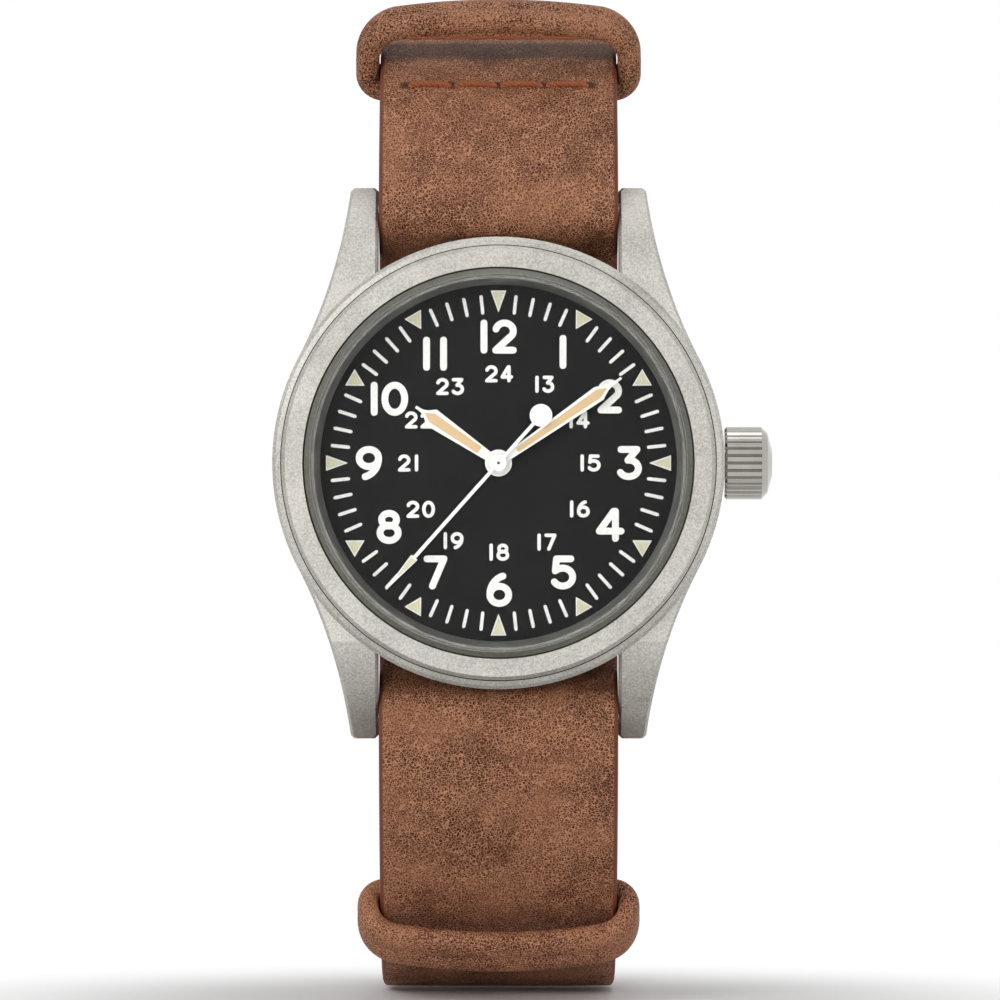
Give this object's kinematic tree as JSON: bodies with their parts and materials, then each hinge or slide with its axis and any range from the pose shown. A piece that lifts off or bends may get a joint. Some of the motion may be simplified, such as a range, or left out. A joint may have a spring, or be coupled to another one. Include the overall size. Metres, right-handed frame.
{
  "type": "field watch",
  "caption": "Hand-wound field watch: round steel case with lugs, crown, black numbered dial, three hands and movement, on a leather pass-through strap with keepers and buckle.",
  "frame": {"origin": "centre of the strap's wrist-facing flat face behind the case, on the dial's axis", "axes": "+Y from the dial towards the wrist, +Z towards 12 o'clock, +X towards the crown at 3 o'clock"},
  "size_m": [0.0421, 0.0615, 0.0846],
  "materials": {
    "blasted_steel": "bead-blasted matte steel",
    "crown_steel": "satin flutes with a polished chamfer",
    "back_steel": "brushed steel",
    "polished_steel": "polished steel",
    "buckle_steel": "satin steel",
    "crystal_glass": "clear polished crystal",
    "dial_black": "matte black paint",
    "flange_grey": "satin grey",
    "hand_white": "white paint with cream lume",
    "seal_black": "soft nitrile",
    "holder_plastic": "moulded plastic",
    "plate_brass": "nickel-plated brass",
    "wheel_brass": "gilt brass",
    "spring_steel": "tempered spring steel",
    "ruby": "synthetic ruby",
    "strap_leather": "crackled waxed brown leather",
    "thread": "waxed orange-brown thread"
  },
  "bodies": {
    "case": {"case_middle": "blasted_steel", "bezel": "blasted_steel", "crystal": "crystal_glass", "crystal_gasket": "seal_black", "flange_ring": "flange_grey", "case_back": "back_steel", "back_gasket": "seal_black", "crown_tube": "polished_steel", "dial": "dial_black", "movement_ring": "holder_plastic", "mainplate": "plate_brass", "barrel_bridge": "plate_brass", "train_bridge": "plate_brass", "balance_cock": "plate_brass", "pallet_bridge": "plate_brass", "bridge_screws": "polished_steel", "jewels": "ruby", "hairspring": "spring_steel", "main_strap": "strap_leather", "under_strap": "strap_leather", "bottom_ring": "strap_leather", "strap_stitches": "thread", "top_spring_bar": "polished_steel", "bottom_spring_bar": "polished_steel"},
    "seconds": {"fourth_wheel": "wheel_brass", "seconds_hand": "hand_white"},
    "minutes": {"centre_wheel": "wheel_brass", "cannon_pinion": "polished_steel", "minute_hand": "hand_white"},
    "hours": {"hour_wheel": "wheel_brass", "hour_hand": "hand_white"},
    "third": {"third_wheel": "wheel_brass"},
    "escape": {"escape_wheel": "polished_steel"},
    "barrel": {"barrel": "wheel_brass", "mainspring": "spring_steel"},
    "minute_wheel": {"minute_wheel": "wheel_brass"},
    "setting_wheel": {"setting_wheel": "wheel_brass"},
    "pallet": {"pallet_fork": "polished_steel"},
    "balance": {"balance_wheel": "wheel_brass"},
    "winding_pinion": {"winding_pinion": "polished_steel"},
    "crown": {"crown": "crown_steel", "winding_stem": "polished_steel", "crown_gasket": "seal_black"},
    "sliding_pinion": {"sliding_pinion": "polished_steel"},
    "setting_lever": {"setting_lever": "polished_steel"},
    "yoke": {"yoke": "polished_steel"},
    "crown_wheel": {"crown_wheel": "polished_steel"},
    "ratchet": {"ratchet_wheel": "polished_steel", "barrel_arbor": "polished_steel"},
    "click": {"click": "polished_steel"},
    "top_keeper": {"top_keeper": "strap_leather"},
    "floating_keeper": {"floating_keeper": "strap_leather"},
    "buckle": {"buckle_frame": "buckle_steel", "buckle_pin": "buckle_steel"},
    "tongue": {"buckle_tongue": "buckle_steel"},
    "top_right_tip": {"top_spring_bar_right_tip": "polished_steel"},
    "top_left_tip": {"top_spring_bar_left_tip": "polished_steel"},
    "bottom_right_tip": {"bottom_spring_bar_right_tip": "polished_steel"},
    "bottom_left_tip": {"bottom_spring_bar_left_tip": "polished_steel"}
  },
  "joints": [
    {"name": "seconds_turn", "type": "hinge", "parent": "case", "child": "seconds", "pos_m": [0, 0, 0], "axis": [0, 1, 0], "continuous": true},
    {"name": "minutes_turn", "type": "hinge", "parent": "case", "child": "minutes", "pos_m": [0, 0, 0], "axis": [0, 1, 0], "continuous": true},
    {"name": "hours_turn", "type": "hinge", "parent": "case", "child": "hours", "pos_m": [0, 0, 0], "axis": [0, 1, 0], "continuous": true},
    {"name": "third_turn", "type": "hinge", "parent": "case", "child": "third", "pos_m": [-0.00395, 0, -0.00144], "axis": [0, 1, 0], "continuous": true},
    {"name": "escape_turn", "type": "hinge", "parent": "case", "child": "escape", "pos_m": [0.00133, 0, -0.00366], "axis": [0, 1, 0], "continuous": true},
    {"name": "barrel_turn", "type": "hinge", "parent": "case", "child": "barrel", "pos_m": [0.00304, 0, 0.00526], "axis": [0, 1, 0], "continuous": true},
    {"name": "minute_wheel_turn", "type": "hinge", "parent": "case", "child": "minute_wheel", "pos_m": [0.0022, 0, 0], "axis": [0, 1, 0], "continuous": true},
    {"name": "setting_wheel_turn", "type": "hinge", "parent": "case", "child": "setting_wheel", "pos_m": [0.00495, 0, 0], "axis": [0, 1, 0], "continuous": true},
    {"name": "pallet_swing", "type": "hinge", "parent": "case", "child": "pallet", "pos_m": [0.00247, 0, -0.0056], "axis": [0, 1, 0], "range_deg": [-3, 3]},
    {"name": "balance_swing", "type": "hinge", "parent": "case", "child": "balance", "pos_m": [0.004, 0, -0.0082], "axis": [0, 1, 0], "range_deg": [-220, 220], "stiffness_Nm_per_rad": 0.0000001},
    {"name": "crown_turn", "type": "hinge", "parent": "case", "child": "winding_pinion", "pos_m": [0, -0.0062, 0], "axis": [1, 0, 0], "continuous": true},
    {"name": "crown_pull", "type": "slide", "parent": "winding_pinion", "child": "crown", "axis": [1, 0, 0], "range_m": [0, 0.0009]},
    {"name": "pinion_shift", "type": "slide", "parent": "winding_pinion", "child": "sliding_pinion", "axis": [1, 0, 0], "range_m": [-0.00045, 0]},
    {"name": "setting_lever_swing", "type": "hinge", "parent": "case", "child": "setting_lever", "pos_m": [0.0118, 0, 0.0034], "axis": [0, -1, 0], "range_deg": [0, 15.37]},
    {"name": "yoke_swing", "type": "hinge", "parent": "case", "child": "yoke", "pos_m": [0.0073, 0, -0.00455], "axis": [0, -1, 0], "range_deg": [0, 6.79]},
    {"name": "crown_wheel_turn", "type": "hinge", "parent": "case", "child": "crown_wheel", "pos_m": [0.0064, 0, 0], "axis": [0, 1, 0], "continuous": true},
    {"name": "ratchet_turn", "type": "hinge", "parent": "case", "child": "ratchet", "pos_m": [0.00304, 0, 0.00526], "axis": [0, 1, 0], "continuous": true},
    {"name": "click_lift", "type": "hinge", "parent": "case", "child": "click", "pos_m": [-0.00155, 0, 0.00791], "axis": [0, -1, 0], "range_deg": [0, 8], "stiffness_Nm_per_rad": 0.000001},
    {"name": "top_keeper_slide", "type": "hinge", "parent": "case", "child": "top_keeper", "pos_m": [0, 0.01566, 0.01298], "axis": [-1, 0, 0], "range_deg": [-1.2, 25]},
    {"name": "floating_keeper_slide", "type": "slide", "parent": "case", "child": "floating_keeper", "axis": [0, 0, 1], "range_m": [-0.0045, 0.006]},
    {"name": "buckle_swing", "type": "hinge", "parent": "case", "child": "buckle", "pos_m": [0, 0.041, 0.002], "axis": [1, 0, 0], "range_deg": [-1, 2]},
    {"name": "tongue_swing", "type": "hinge", "parent": "buckle", "child": "tongue", "pos_m": [0, 0.041, 0.002], "axis": [1, 0, 0], "range_deg": [0, 1.5]},
    {"name": "top_right_tip_press", "type": "slide", "parent": "case", "child": "top_right_tip", "axis": [1, 0, 0], "range_m": [-0.001, 0], "stiffness_N_per_m": 20},
    {"name": "top_left_tip_press", "type": "slide", "parent": "case", "child": "top_left_tip", "axis": [-1, 0, 0], "range_m": [-0.001, 0], "stiffness_N_per_m": 20},
    {"name": "bottom_right_tip_press", "type": "slide", "parent": "case", "child": "bottom_right_tip", "axis": [1, 0, 0], "range_m": [-0.001, 0], "stiffness_N_per_m": 20},
    {"name": "bottom_left_tip_press", "type": "slide", "parent": "case", "child": "bottom_left_tip", "axis": [-1, 0, 0], "range_m": [-0.001, 0], "stiffness_N_per_m": 20}
  ],
  "couplings": [
    {"joint": "minutes_turn", "follows": "seconds_turn", "ratio": 0.016667},
    {"joint": "hours_turn", "follows": "seconds_turn", "ratio": 0.0013889},
    {"joint": "third_turn", "follows": "seconds_turn", "ratio": -0.13333},
    {"joint": "escape_turn", "follows": "seconds_turn", "ratio": -10},
    {"joint": "barrel_turn", "follows": "seconds_turn", "ratio": -0.0027778},
    {"joint": "minute_wheel_turn", "follows": "seconds_turn", "ratio": -0.0055556},
    {"joint": "setting_wheel_turn", "follows": "seconds_turn", "ratio": 0.0083333},
    {"joint": "crown_wheel_turn", "follows": "crown_turn", "ratio": 0.5},
    {"joint": "ratchet_turn", "follows": "crown_turn", "ratio": -0.3125},
    {"joint": "pinion_shift", "follows": "crown_pull", "ratio": -0.5},
    {"joint": "setting_lever_swing", "follows": "crown_pull", "rad_per_m": 297.8},
    {"joint": "yoke_swing", "follows": "crown_pull", "rad_per_m": 131.58}
  ]
}
